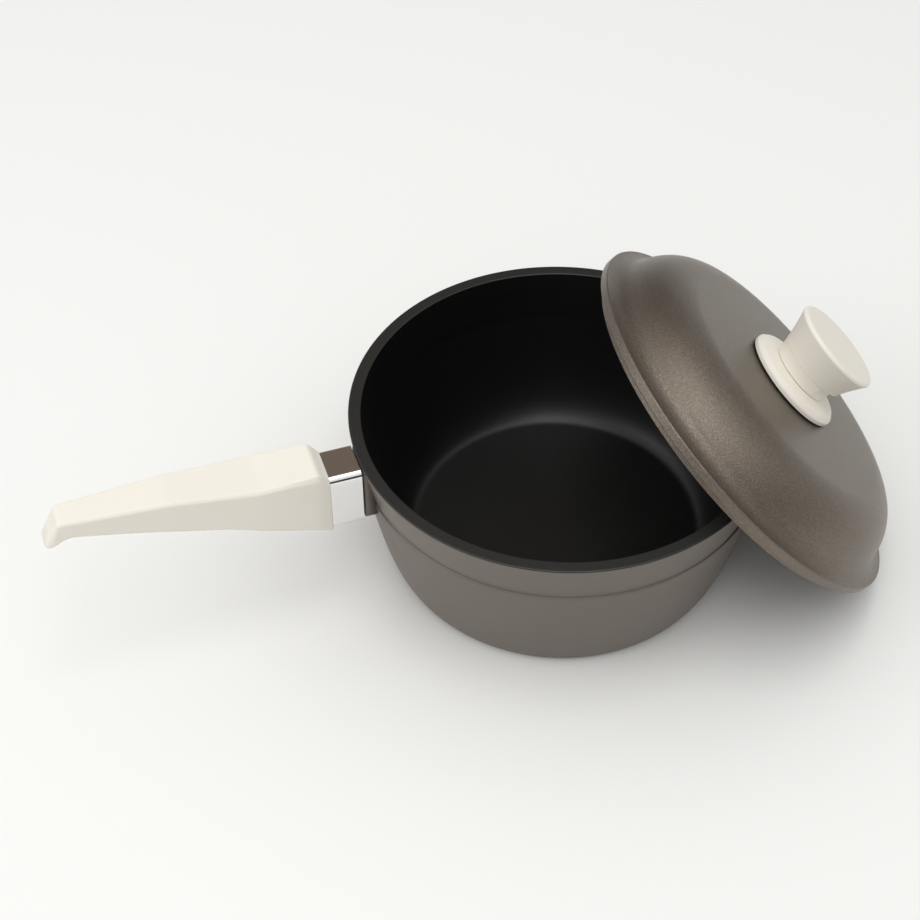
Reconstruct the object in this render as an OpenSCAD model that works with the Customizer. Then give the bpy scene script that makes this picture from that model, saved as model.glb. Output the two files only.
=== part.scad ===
// Cast aluminium saucepan with a long side handle and a loose domed lid.
// The pan stands on Z = 0 with its axis on Z. The handle runs out along -X.
// The lid leans: its edge stands on the ground and its screw head rests on the pan's rim.

/* [Pan] */
// Outer radius of the rim
rim_r = 95.8; // [88:0.1:115]
// Width of the flat rim, from its outer corner to the cooking space
rim_w = 5.8; // [4.6:0.1:8]
// Height of the rim above the ground
pan_h = 83.4; // [70:0.1:110]
// Height of the rim band, down to the ledge around the outside
band_h = 23.4; // [18:0.1:30]
// How far the rim band draws in on its way down to the ledge
band_draft = 5.4; // [3:0.1:6.5]
// Width of the ledge around the outside
ledge_w = 0.7; // [0.3:0.1:1.2]
// How far the flat base is inside the ledge
base_inset = 16; // [10:0.5:24]
// Thickness of the side wall at the ledge
wall_t = 3; // [2.4:0.1:4]
// Thickness of the cast base
base_t = 5; // [4:0.1:8]
// Width of the rounding between the cooking floor and the side
floor_round = 18; // [12:0.5:26]

/* [Base disc] */
// Radius of the steel disc set into the base
disc_r = 62; // [40:0.5:64]
// Thickness of the steel disc
disc_t = 0.8; // [0.5:0.1:1.5]
// Depth of the groove turned around the disc
groove_d = 0.6; // [0.3:0.1:1]
// Number of rings of holes through the disc
disc_rings = 4; // [2:1:5]
// Radius of each hole through the disc
disc_hole_r = 1.5; // [1:0.1:2]

/* [Handle mounting] */
// Width of the handle where it meets the pan
mount_w = 20; // [16:0.2:24]
// Height of the handle where it meets the pan
mount_h = 31; // [27:0.5:34]
// Gap from the top of the rim down to the top of the mounting
mount_drop = 0.9; // [0.5:0.1:3]
// Radius of the long edges of the mounting
mount_round = 3.2; // [1.5:0.1:4]
// Width of the dark seam between the pan's boss and the ferrule
seam_w = 0.9; // [0.4:0.1:1.5]
// Depth of that seam
seam_d = 1.6; // [0.8:0.1:2.5]
// Width of the cast tang inside the handle
tang_w = 10; // [8:0.5:12]
// Height of the cast tang inside the handle
tang_h = 18; // [14:0.5:22]
// How far the tang reaches into the grip
tang_in_grip = 12; // [8:0.5:18]
// Gap around the tang, inside the ferrule and the grip
tang_gap = 0.25; // [0.1:0.05:0.5]

/* [Ferrule] */
// Length of the metal ferrule
ferrule_l = 14.2; // [10:0.2:24]
// Thickness of the ferrule's metal
ferrule_t = 0.9; // [0.6:0.1:1.5]

/* [Grip] */
// Length of the grip
grip_l = 122; // [105:1:150]
// Greatest width of the grip
grip_w = 24.4; // [22:0.2:28]
// Width of the grip's tip
tip_w = 12; // [10:0.2:16]
// How far the grip's top stands above the ferrule
grip_lift = 5.2; // [3:0.1:8]
// How far the top rises from the pan's end to the tip
grip_rise = 3.6; // [0:0.1:8]
// Thickness of the grip just before its tip
tip_t = 9.6; // [8:0.1:12]
// How far the bent tip hangs below the underside in front of it
tip_hook = 5; // [2:0.1:8]
// Size of the bevel along the top edges
grip_bevel = 1.4; // [0.6:0.1:2.5]

/* [Handle screw] */
// Nominal diameter of the handle screw
screw_d = 5; // [4:0.5:6]
// Diameter of the screw's head
screw_head_d = 9; // [8:0.1:10]
// Height of the screw's head
screw_head_h = 3.4; // [2.5:0.1:4.5]
// Thickness of the plastic that the screw clamps
clamp_t = 10; // [8:0.5:14]
// Depth of thread in the tang
thread_l = 16; // [10:0.5:20]
// Radial gap around a screw in its clearance hole
screw_gap = 0.3; // [0.15:0.05:0.5]
// Radial gap around the head in its access channel
access_gap = 1.1; // [0.6:0.1:1.6]

/* [Lid] */
// How far the lid's edge is inside the outer corner of the rim
lid_inset = 2.1; // [0.5:0.1:5]
// Height of the lid's edge
edge_h = 4; // [3:0.1:6]
// Thickness of the lid's metal
lid_t = 2.8; // [2:0.1:3.5]
// Height of the lid's top, above the face that sits on the rim
lid_h = 28.6; // [22:0.1:40]
// Width of the brim, from the edge to the foot of the dome
brim_w = 8.5; // [6:0.1:12]
// How far the brim rises on its way to the dome
brim_rise = 4.9; // [3:0.1:7]
// Width of the dome's shoulder, from its foot to the flat top
shoulder_w = 23.6; // [16:0.1:32]
// Slope of the top, from its edge to the seat of the knob
crown_h = 0.8; // [0.2:0.1:2]
// Gap between the seating lip and the inside of the pan
lip_gap = 0.8; // [0.4:0.1:1.5]
// Depth of the seating lip below the face that sits on the rim
lip_h = 3.5; // [2:0.1:6]

/* [Knob] */
// Radius of the knob's flange
flange_r = 24.9; // [20:0.1:30]
// Thickness of the flange at its rim
flange_t = 3.9; // [3:0.1:6]
// Rise of the flange from its rim to the neck
flange_rise = 1.4; // [0.5:0.1:3]
// Radius of the neck at its foot
neck_r = 15.2; // [12.5:0.1:17]
// Radius of the knob's top
knob_r = 22.2; // [19:0.1:28]
// Height of the knob above its flange
knob_h = 22; // [18:0.5:30]
// Rounding of the knob's top edge
knob_round = 1.6; // [1:0.1:4]
// Height of the notch in the foot of the neck
notch_h = 7; // [4:0.5:9]
// Angle that the notch takes up around the neck
notch_arc = 110; // [40:5:160]
// Thickness of the soft seal between the flange and the lid
seal_t = 0.8; // [0.6:0.1:2]

/* [Knob screw] */
// Nominal diameter of the knob screw
knob_screw_d = 5; // [4:0.5:6]
// Diameter of the knob screw's head
knob_head_d = 9.4; // [8:0.1:11]
// Height of the knob screw's head
knob_head_h = 2.4; // [2:0.1:3.5]
// Diameter of the brass insert in the knob
insert_d = 8; // [7:0.1:10]
// Length of the brass insert in the knob
insert_l = 12; // [8:0.5:15]
// Thickness of the steel washer under the lid
washer_t = 0.9; // [0.6:0.1:1.5]
// Thickness of the soft washer between the steel washer and the lid
soft_washer_t = 1; // [0.6:0.1:1.5]

/* [Resting pose] */
// Steepest lean, for a pan that is tall beside its lid
lean_max = 55; // [48:1:65]
// How far above the middle of its screw head the lid touches the rim
touch_up = 2; // [0:0.1:3]
// Direction in which the lid leans away from the pan, about Z from +X
lean_dir = -8.3; // [-30:0.1:30]
// How far the lid's axis is to one side of that direction
lean_side = -6.4; // [-10:0.1:10]
// Gap left between the inside of the lid and the pan's rim
lean_gap = 0.05; // [0.02:0.01:0.3]

/* [Hidden] */
$fn = 96;
eps = 0.01;
curve_steps = 12;

cast_colour = [0.44, 0.41, 0.38];
steel_colour = [0.75, 0.75, 0.74];
ivory_colour = [0.93, 0.89, 0.83];
seal_colour = [0.08, 0.08, 0.08];
brass_colour = [0.78, 0.66, 0.38];

// Pan, from the rim down
bowl_r = rim_r - rim_w;
ledge_z = pan_h - band_h;
band_foot_r = rim_r - band_draft;
ledge_r = band_foot_r + ledge_w;
base_r = ledge_r - base_inset;
bowl_ledge_r = ledge_r - wall_t;
floor_r = base_r - base_t;
rim_round = 0.6;
side_straight = 3;
side_pull = 7.4;
floor_pull = 0.53 * floor_round;
floor_flat_r = floor_r + 4 - 0.5 * floor_round;
band_step = 0.3;

// Base disc
disc_edge = 2 * disc_hole_r;
ring_pitch = (disc_r - disc_edge) / (disc_rings + 0.5);
hole_pitch = 14;

// Handle mounting, measured along -X from the pan's axis
mount_z = pan_h - mount_drop - mount_h / 2;
boss_past_rim = 0.35;
boss_in_wall = 6;
boss_step = 0.5;
tang_round = 1.5;
ferrule_s = rim_r + boss_past_rim;
boss_end_s = ferrule_s - seam_w;
grip_s = ferrule_s + ferrule_l;
tang_end_s = grip_s + tang_in_grip;
clamp_s = tang_end_s + tang_gap;
head_seat_s = clamp_s + clamp_t;
flat_washer_t = 1;
spring_washer_t = 1.3;
washer_r = screw_head_d / 2 + 0.4;
spring_washer_r = washer_r - 0.6;
head_s = head_seat_s + flat_washer_t + spring_washer_t;
thread_spare = 2;
screw_tip_s = tang_end_s - thread_l + thread_spare;
access_r = screw_head_d / 2 + access_gap;
socket_d = 4;
socket_in = 2.2;
split_w = 0.8;
split_turn = 20;

// Grip, seen from the side and from above
foot_drop = 1;
top_z = mount_z + mount_h / 2 + grip_lift;
foot_z = mount_z - mount_h / 2 - foot_drop;
grip_end_s = grip_s + grip_l;
tip_top_z = top_z + grip_rise;
tip_under_z = tip_top_z - tip_t;
tip_drop_z = tip_under_z - tip_hook;
tip_neck_s = grip_end_s - 12;
tip_top_s = grip_end_s - 6.8;
wide_s = grip_s + 30;
kink_s = grip_s + 0.57 * grip_l;
end_bevel = 4.6;
// Underside, as shares of the grip's length and of its rise from the foot to the tip
under_shape = [[0.1, 0.173], [0.37, 0.555], [0.62, 0.782], [0.74, 0.885]];
// Bent tip, as distances from the neck and heights above its lowest point
hook_shape = [[3.5, tip_hook - 0.6], [8.2, 1.2]];
// Half width from above: share of the swelling before wide_s, and of the narrowing after it
swell_share = 0.7;
kink_share = 0.42;
neck_share = 0.855;
start_w = mount_w / 2 + 0.3;
// Bevel: how much further it runs down the side and in across the top
bevel_down = 1;
bevel_in = 1.2;
// Facet along both top edges next to the pan: its length and its width at the pan's end
facet_l = 21;
facet_w = 2.6;
facet_h = 5;
access_l = 0.55 * grip_l;

// Lid profile, r from its axis and h above the face that sits on the rim
lid_r = rim_r - lid_inset;
lip_r = bowl_r - lip_gap;
lip_w = 2.8;
dome_foot_r = lid_r - brim_w;
dome_foot_h = edge_h + brim_rise;
top_edge_r = dome_foot_r - shoulder_w;
top_edge_h = lid_h - crown_h;
shoulder_r = dome_foot_r - 0.255 * shoulder_w;
shoulder_h = top_edge_h - 1.7;
seat_r = flange_r + 2;
edge_round = 0.5;
// Brim, as shares of its width inwards and of its rise
brim_shape = [[0.45, 0.16], [0.75, 0.45]];
lip_draft = 0.6;
crease_in = [0.6, 0.5];
shoulder_in = 0.3;
top_edge_in = 1;

// Knob stack, h in the lid's frame
flange_h = lid_h + seal_t;
flange_rim_h = flange_h + flange_t / 2;
flange_top_h = flange_h + flange_t;
neck_h = flange_top_h + flange_rise;
knob_top_h = neck_h + knob_h;
knob_brim_h = knob_top_h - knob_round;
notch_turn = -95;
knob_crown = 0.4;
flange_edge = 0.4;
flange_slope_w = 1.9;
seal_inset = 0.9;
flare_share = 0.4;
knob_brim = 0.6;
insert_cover = 1;
insert_h = neck_h + insert_cover;
lid_under_h = lid_h - lid_t;
steel_washer_h = lid_under_h - soft_washer_t;
head_top_h = steel_washer_h - washer_t;
head_face_h = head_top_h - knob_head_h;
head_round = 0.8;
knob_socket_d = 3;
knob_socket_in = 1.4;
tip_spare = 2;
knob_washer_r = knob_head_d / 2 + 2.4;
soft_washer_r = knob_washer_r - 0.6;
knob_hole_r = knob_screw_d / 2 + screw_gap;

// The lid stands with its edge on the ground and its screw head against the rim. The lean
// follows from the lid's radius and the pan's height, up to lean_max.
touch_r = lid_r + touch_up;
touch_far = sqrt(pow(touch_r, 2) + pow(head_face_h, 2));
lean = min(lean_max, asin(min(1, pan_h / touch_far)) - atan(head_face_h / touch_r));
lid_z = lid_r * sin(lean);
// How far up the lid the rim meets a face at height h, and the face that it meets first
function rim_up(h) = abs(pan_h - lid_z - h * cos(lean)) / sin(lean);
rest_h = rim_up(head_face_h) < knob_head_d / 2 ? head_face_h
    : rim_up(head_top_h) < knob_washer_r ? head_top_h
    : lid_under_h;
lid_out = (rim_r * sin(lean) + (pan_h - lid_z) * cos(lean) - rest_h + lean_gap) / sin(lean);

// Point on a cubic curve that leaves a towards b and reaches d from c
function cubic(a, b, c, d, t) =
    pow(1 - t, 3) * a + 3 * t * pow(1 - t, 2) * b + 3 * t * t * (1 - t) * c + pow(t, 3) * d;

// Point on a quadratic curve from a to c, drawn towards b
function quadratic(a, b, c, t) = pow(1 - t, 2) * a + 2 * t * (1 - t) * b + t * t * c;

function cubic_points(a, b, c, d) =
    [for (i = [0 : curve_steps]) cubic(a, b, c, d, i / curve_steps)];

function quadratic_points(a, b, c) =
    [for (i = [0 : curve_steps]) quadratic(a, b, c, i / curve_steps)];

// Points of a round corner about centre c, from angle a0 to a1
function corner(c, r, a0, a1, steps = 4) =
    [for (i = [0 : steps]) let (a = a0 + (a1 - a0) * i / steps) c + r * [cos(a), sin(a)]];

// Rectangle with round corners, centred on the origin
module round_rect(w, h, r) {
    square([w - 2 * r, h], center = true);
    square([w, h - 2 * r], center = true);
    for (x = [-1, 1], y = [-1, 1])
        translate([x * (w / 2 - r), y * (h / 2 - r)])
            circle(r);
}

// Runs a section (width along Y, height along Z) out along -X, from s0 to s1
module along_handle(s0, s1, z = mount_z) {
    translate([-s0, 0, z])
        rotate([0, -90, 0])
            linear_extrude(s1 - s0)
                rotate(-90)
                    children();
}

// Round bar or hole along the handle, from s0 to s1
module handle_rod(r, s0, s1, z = mount_z) {
    translate([-s0, 0, z])
        rotate([0, -90, 0])
            cylinder(r = r, h = s1 - s0);
}

// Turned solid between radius r0 and r1, from height h0 to h1
module ring(r0, r1, h0, h1) {
    translate([0, 0, h0])
        difference() {
            cylinder(r = r1, h = h1 - h0);
            translate([0, 0, -1])
                cylinder(r = r0, h = h1 - h0 + 2);
        }
}

// Puts a piece that is drawn in the lid's frame where the leaning lid is
module lid_place() {
    rotate(lean_dir)
        translate([lid_out, lean_side, lid_z])
            rotate([0, lean, 0])
                children();
}

// ---- Pan ----

module bowl_profile() {
    top = pan_h + 1;
    polygon(concat(
        [[0, top], [bowl_r, top], [bowl_r, pan_h]],
        cubic_points(
            [bowl_ledge_r, ledge_z],
            [bowl_ledge_r, ledge_z - side_straight],
            [floor_r + floor_pull, base_t],
            [floor_flat_r, base_t]
        ),
        [[0, base_t]]
    ));
}

module pan_outline() {
    polygon(concat(
        [[0, 0]],
        cubic_points(
            [base_r, 0],
            [base_r + side_pull, 0],
            [ledge_r, ledge_z - side_straight],
            [ledge_r, ledge_z]
        ),
        [[band_foot_r, ledge_z + band_step]],
        corner([rim_r - rim_round, pan_h - rim_round], rim_round, 0, 90),
        [[0, pan_h]]
    ));
}

module boss() {
    along_handle(bowl_ledge_r - boss_in_wall, boss_end_s)
        round_rect(mount_w - 2 * boss_step, mount_h - 2 * boss_step, mount_round);
    along_handle(boss_end_s - eps, ferrule_s)
        round_rect(mount_w - 2 * seam_d, mount_h - 2 * seam_d, mount_round);
    along_handle(ferrule_s - eps, tang_end_s)
        round_rect(tang_w, tang_h, tang_round);
}

module pan_body() {
    color(cast_colour)
        difference() {
            union() {
                rotate_extrude()
                    pan_outline();
                boss();
            }
            rotate_extrude()
                bowl_profile();
            disc_recess();
            handle_rod(screw_d / 2, tang_end_s - thread_l, tang_end_s + 1);
        }
}

// ---- Base disc ----

module disc_recess() {
    translate([0, 0, -1])
        cylinder(r = disc_r, h = disc_t + 1);
    ring(disc_r - eps, disc_r + groove_d, -1, groove_d);
}

// Rings of holes, spaced alike along every ring
module disc_holes() {
    for (ring_no = [1 : disc_rings]) {
        r = ring_no * ring_pitch;
        count = round(2 * PI * r / hole_pitch);
        for (i = [0 : count - 1])
            rotate(360 * (i + ring_no / 2) / count)
                translate([r, 0, -1])
                    cylinder(r = disc_hole_r, h = disc_t + 2);
    }
}

module base_disc() {
    color(steel_colour)
        difference() {
            cylinder(r = disc_r, h = disc_t);
            disc_holes();
        }
}

// ---- Handle ----

module ferrule() {
    color(steel_colour)
        difference() {
            along_handle(ferrule_s, grip_s)
                round_rect(mount_w, mount_h, mount_round);
            along_handle(ferrule_s + ferrule_t, grip_s + 1)
                round_rect(mount_w - 2 * ferrule_t, mount_h - 2 * ferrule_t, mount_round - ferrule_t);
            along_handle(ferrule_s - 1, grip_s)
                tang_room();
        }
}

// Section of the space for the tang
module tang_room() {
    round_rect(tang_w + 2 * tang_gap, tang_h + 2 * tang_gap, tang_round + tang_gap);
}

// Outline from the side: X is the distance from the pan's axis, Y is the height
module grip_side() {
    polygon([
        [tip_neck_s, tip_under_z],
        for (p = hook_shape) [tip_neck_s + p.x, tip_drop_z + p.y],
        [grip_end_s, tip_drop_z],
        [tip_top_s, tip_top_z],
        [kink_s, tip_top_z],
        [wide_s, top_z],
        [grip_s + end_bevel, top_z],
        [grip_s, top_z - grip_lift],
        [grip_s, foot_z],
        for (p = under_shape) [grip_s + p.x * grip_l, foot_z + p.y * (tip_under_z - foot_z)]
    ]);
}

// Outline from above, symmetric about the handle's line
module grip_plan() {
    wide = grip_w / 2;
    tip = tip_w / 2;
    half = [
        [grip_s, start_w],
        [grip_s + end_bevel, start_w + swell_share * (wide - start_w)],
        [wide_s, wide],
        [kink_s, wide - kink_share * (wide - tip)],
        [tip_neck_s, wide - neck_share * (wide - tip)],
        [grip_end_s, tip]
    ];
    polygon(concat(half, [for (i = [len(half) - 1 : -1 : 0]) [half[i].x, -half[i].y]]));
}

// Section across the handle, with its top edges bevelled
module grip_section() {
    w = grip_w / 2;
    top_w = w - grip_bevel - bevel_in;
    side_z = top_z - grip_bevel - bevel_down;
    polygon([
        [-w, 0], [w, 0],
        [w, side_z], [top_w, tip_top_z + eps],
        [-top_w, tip_top_z + eps], [-w, side_z]
    ]);
}

// What the facet takes off one top edge, widest at the pan's end
module grip_facet() {
    s0 = grip_s - 1;
    edge = grip_w / 2 + 1;
    reach = edge - start_w + facet_w;
    polyhedron(
        [
            [-s0, edge, top_z + 1], [-s0, edge - reach, top_z + 1], [-s0, edge, top_z - facet_h],
            [-s0 - facet_l, edge, top_z + 1], [-s0 - facet_l, edge - eps, top_z + 1],
            [-s0 - facet_l, edge, top_z + 1 - eps]
        ],
        [[0, 1, 2], [3, 5, 4], [0, 3, 4, 1], [0, 2, 5, 3], [1, 4, 5, 2]]
    );
}

module grip_blank() {
    intersection() {
        rotate([90, 0, 180])
            translate([0, 0, -grip_w])
                linear_extrude(2 * grip_w)
                    grip_side();
        rotate(180)
            linear_extrude(2 * pan_h)
                grip_plan();
        along_handle(grip_s - 1, grip_end_s + 1, 0)
            grip_section();
    }
}

module grip() {
    color(ivory_colour)
        difference() {
            grip_blank();
            along_handle(grip_s - 1, clamp_s)
                tang_room();
            handle_rod(screw_d / 2 + screw_gap, grip_s, head_seat_s + 1);
            handle_rod(access_r, head_seat_s, grip_s + access_l);
            for (side = [0, 1])
                mirror([0, side, 0])
                    grip_facet();
        }
}

module handle_screw() {
    color(steel_colour)
        difference() {
            union() {
                handle_rod(screw_d / 2, screw_tip_s, head_s + eps);
                handle_rod(screw_head_d / 2, head_s, head_s + screw_head_h);
            }
            translate([-(head_s + screw_head_h - socket_in), 0, mount_z])
                rotate([0, -90, 0])
                    cylinder(d = socket_d, h = 2 * socket_in, $fn = 6);
        }
}

module handle_flat_washer() {
    color(steel_colour)
        difference() {
            handle_rod(washer_r, head_seat_s, head_seat_s + flat_washer_t);
            handle_rod(screw_d / 2 + screw_gap, head_seat_s - 1, head_seat_s + flat_washer_t + 1);
        }
}

// Spring washer: a flat ring with a narrow split
module handle_spring_washer() {
    s0 = head_seat_s + flat_washer_t;
    color(steel_colour)
        difference() {
            handle_rod(spring_washer_r, s0, s0 + spring_washer_t);
            handle_rod(screw_d / 2 + screw_gap, s0 - 1, s0 + spring_washer_t + 1);
            translate([-s0 - spring_washer_t / 2, 0, mount_z + washer_r / 2])
                rotate([split_turn, 0, 0])
                    cube([spring_washer_t * 3, split_w, washer_r + 1], center = true);
        }
}

// ---- Lid ----

module lid_outline() {
    polygon(concat(
        [[0, -lip_h], [lip_r, -lip_h], [lip_r, 0]],
        corner([lid_r - edge_round, edge_round], edge_round, -90, 0),
        corner([lid_r - edge_round, edge_h - edge_round], edge_round, 0, 90),
        [for (p = brim_shape) [lid_r - p.x * brim_w, edge_h + p.y * brim_rise]],
        quadratic_points([dome_foot_r, dome_foot_h], [shoulder_r, shoulder_h], [top_edge_r, top_edge_h]),
        [[seat_r, lid_h], [0, lid_h]]
    ));
}

module lid_hollow() {
    polygon(concat(
        [
            [0, -lip_h - 1], [lip_r - lip_w + lip_draft, -lip_h - 1],
            [lip_r - lip_w, edge_h - lid_t], [dome_foot_r - lid_t, edge_h]
        ],
        quadratic_points(
            [dome_foot_r - lid_t, dome_foot_h] - crease_in,
            [shoulder_r - lid_t + shoulder_in, shoulder_h - lid_t],
            [top_edge_r - top_edge_in, top_edge_h - lid_t]
        ),
        [[seat_r, lid_under_h], [0, lid_under_h]]
    ));
}

module lid_shell() {
    color(cast_colour)
        lid_place()
            difference() {
                rotate_extrude()
                    difference() {
                        lid_outline();
                        lid_hollow();
                    }
                translate([0, 0, lid_under_h - 1])
                    cylinder(r = knob_hole_r, h = lid_t + 2);
            }
}

// ---- Knob ----

module knob_seal() {
    color(seal_colour)
        lid_place()
            ring(knob_hole_r, flange_r - seal_inset, lid_h, flange_h);
}

module knob_flange() {
    color(ivory_colour)
        lid_place()
            rotate_extrude()
                polygon([
                    [knob_hole_r, flange_h],
                    [flange_r - flange_edge, flange_h],
                    [flange_r, flange_h + flange_edge],
                    [flange_r, flange_rim_h],
                    [flange_r - flange_slope_w, flange_top_h],
                    [neck_r, neck_h],
                    [knob_hole_r, neck_h]
                ]);
}

module knob_outline() {
    polygon(concat(
        [[0, neck_h]],
        quadratic_points(
            [neck_r, neck_h],
            [neck_r + flare_share * (knob_r - neck_r), neck_h + 0.5 * knob_h],
            [knob_r, knob_brim_h - knob_brim]
        ),
        corner([knob_r - knob_round, knob_brim_h], knob_round, 0, 90, 6),
        [[0, knob_top_h + knob_crown]]
    ));
}

// Notch around part of the foot of the neck, under an overhanging edge
module neck_notch() {
    rotate(notch_turn)
        translate([0, 0, neck_h - 1])
            rotate_extrude(angle = notch_arc)
                translate([neck_r, 0])
                    square([knob_r, notch_h + 1]);
}

module knob_body() {
    color(ivory_colour)
        lid_place()
            difference() {
                rotate_extrude()
                    knob_outline();
                neck_notch();
                translate([0, 0, neck_h - 1])
                    cylinder(r = knob_hole_r, h = insert_cover + 2);
                translate([0, 0, insert_h])
                    cylinder(d = insert_d, h = insert_l);
            }
}

module knob_insert() {
    color(brass_colour)
        lid_place()
            ring(knob_screw_d / 2, insert_d / 2, insert_h, insert_h + insert_l);
}

// Pan-head screw: a low turned head with a hexagon socket
module knob_screw() {
    tip_h = insert_h + insert_l - tip_spare;
    color(steel_colour)
        lid_place()
            difference() {
                rotate_extrude()
                    polygon([
                        [0, head_face_h],
                        [knob_head_d / 2 - head_round, head_face_h],
                        [knob_head_d / 2, head_face_h + head_round],
                        [knob_head_d / 2, head_top_h],
                        [knob_screw_d / 2, head_top_h],
                        [knob_screw_d / 2, tip_h],
                        [0, tip_h]
                    ]);
                translate([0, 0, head_face_h - 1])
                    cylinder(d = knob_socket_d, h = knob_socket_in + 1, $fn = 6);
            }
}

module knob_flat_washer() {
    color(steel_colour)
        lid_place()
            ring(knob_hole_r, knob_washer_r, head_top_h, steel_washer_h);
}

module knob_soft_washer() {
    color(seal_colour)
        lid_place()
            ring(knob_hole_r, soft_washer_r, steel_washer_h, lid_under_h);
}

pan_body();
base_disc();
ferrule();
grip();
handle_screw();
handle_spring_washer();
handle_flat_washer();
lid_shell();
knob_seal();
knob_flange();
knob_body();
knob_insert();
knob_screw();
knob_flat_washer();
knob_soft_washer();
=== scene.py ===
import math

import bpy
import numpy as np
from bpy.props import FloatProperty, FloatVectorProperty, PointerProperty
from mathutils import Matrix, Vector


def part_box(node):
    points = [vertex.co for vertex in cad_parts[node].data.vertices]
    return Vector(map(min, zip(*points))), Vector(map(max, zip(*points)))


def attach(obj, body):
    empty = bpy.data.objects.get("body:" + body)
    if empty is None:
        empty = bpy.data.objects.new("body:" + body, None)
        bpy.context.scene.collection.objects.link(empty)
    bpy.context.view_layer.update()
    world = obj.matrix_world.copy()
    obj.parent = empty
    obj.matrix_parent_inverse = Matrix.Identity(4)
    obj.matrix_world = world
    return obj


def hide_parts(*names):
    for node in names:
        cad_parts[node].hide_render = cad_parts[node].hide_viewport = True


bl_info = {
    "name": "Saucepan finishes",
    "version": (1, 0, 0),
    "blender": (4, 5, 0),
    "location": "3D View > Sidebar > Saucepan",
    "description": "Smooth surfaces, finishes and studio for a cast saucepan with a loose lid",
    "category": "Object",
}

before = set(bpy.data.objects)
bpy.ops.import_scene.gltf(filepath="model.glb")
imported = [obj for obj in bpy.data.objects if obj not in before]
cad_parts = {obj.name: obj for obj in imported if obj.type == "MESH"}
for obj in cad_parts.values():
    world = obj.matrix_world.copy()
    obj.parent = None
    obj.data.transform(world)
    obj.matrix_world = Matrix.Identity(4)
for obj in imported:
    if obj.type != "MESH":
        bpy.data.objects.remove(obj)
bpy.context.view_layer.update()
MM = 0.001
# Columns around each turned piece
PAN_TURNS, LID_TURNS, FLANGE_TURNS, KNOB_TURNS = 256, 320, 200, 360
# Points of the seal beyond this share of its reach are on its outer edge
OUTER_SHARE = 0.8
# Part of a fillet's size by which the flats beside it are held flat
HOLD = 1.3
# Colours of the fixings, the seals and the base disc
STEEL, PLATED, BRASS = (0.62, 0.61, 0.60), (0.72, 0.72, 0.71), (0.78, 0.62, 0.33)
RUBBER = (0.012, 0.012, 0.012)


# ---- Where things are, from the frame ----


def node_points(node):
    """All vertices of a frame node as one array."""
    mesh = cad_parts[node].data
    flat = np.zeros(len(mesh.vertices) * 3)
    mesh.vertices.foreach_get("co", flat)
    return flat.reshape(-1, 3)


def lid_frame():
    """The lid's axis is the direction in which the thin soft seal varies least. Its centre is the centre of
    the circle fitted to the seal's outer points, where |p|^2 = 2 c.p + k."""
    points = node_points("knob_seal")
    middle = points.mean(0)
    directions = np.linalg.svd(points - middle, full_matrices=False)[2]
    axis = directions[2] * np.sign(directions[2][2])
    across = np.cross([0, 0, 1], axis)
    across /= np.linalg.norm(across)
    down = np.cross(across, axis)
    flat = np.column_stack([(points - middle) @ down, (points - middle) @ across])
    reach = np.linalg.norm(flat, axis=1)
    flat = flat[reach > OUTER_SHARE * reach.max()]
    table = np.column_stack([2 * flat, np.ones(len(flat))])
    fit = np.linalg.lstsq(table, (flat**2).sum(1), rcond=None)[0]
    heights = (points - middle) @ axis
    seal_foot = middle + fit[0] * down + fit[1] * across + heights.min() * axis
    return seal_foot, down, across, axis, np.ptp(heights)


SEAL_FOOT, LID_DOWN, LID_ACROSS, LID_AXIS, SEAL_THICKNESS = lid_frame()
RIM_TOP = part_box("pan_body")[1].z
FERRULE_LOW, FERRULE_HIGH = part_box("ferrule")
GRIP_LOW, GRIP_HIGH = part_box("grip")
HANDLE_Z = (FERRULE_LOW.z + FERRULE_HIGH.z) / 2


# ---- Outlines ----


def cubic(a, b, c, d, count=48):
    """Cubic curve: a (1-t)^3 + 3 b t (1-t)^2 + 3 c t^2 (1-t) + d t^3."""
    t = np.linspace(0, 1, count)[:, None]
    a, b, c, d = (np.array(p, float) for p in (a, b, c, d))
    return a * (1 - t) ** 3 + 3 * b * t * (1 - t) ** 2 + 3 * c * t * t * (1 - t) + d * t**3


def quadratic(a, b, c, count=40):
    """Quadratic curve: a (1-t)^2 + 2 b t (1-t) + c t^2."""
    t = np.linspace(0, 1, count)[:, None]
    a, b, c = (np.array(p, float) for p in (a, b, c))
    return a * (1 - t) ** 2 + 2 * b * t * (1 - t) + c * t * t


def fillet(before, corner, after, size, count=7):
    """Rounds a corner with the quadratic curve between the points at that distance before and after it, and
    adds one more point beyond each end, so that the flats beside it stay flat."""
    before, corner, after = (np.array(p, float) for p in (before, corner, after))
    back = (before - corner) / np.linalg.norm(before - corner)
    on = (after - corner) / np.linalg.norm(after - corner)
    curve = quadratic(corner + size * back, corner, corner + size * on, count)
    return np.vstack([corner + HOLD * size * back, curve, corner + HOLD * size * on])


def turned(outline, origin, down, across, axis, turns):
    """Surface of revolution: origin + r (cos a) down + r (sin a) across + h axis, for each outline point
    (r, h) in millimetres."""
    a = np.linspace(0, 2 * np.pi, turns, endpoint=False)
    spoke = np.cos(a)[:, None] * np.array(down) + np.sin(a)[:, None] * np.array(across)
    r, h = outline[:, 0] * MM, outline[:, 1] * MM
    return np.array(origin) + r[:, None, None] * spoke[None] + h[:, None, None] * np.array(axis)


# ---- Meshes ----


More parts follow.
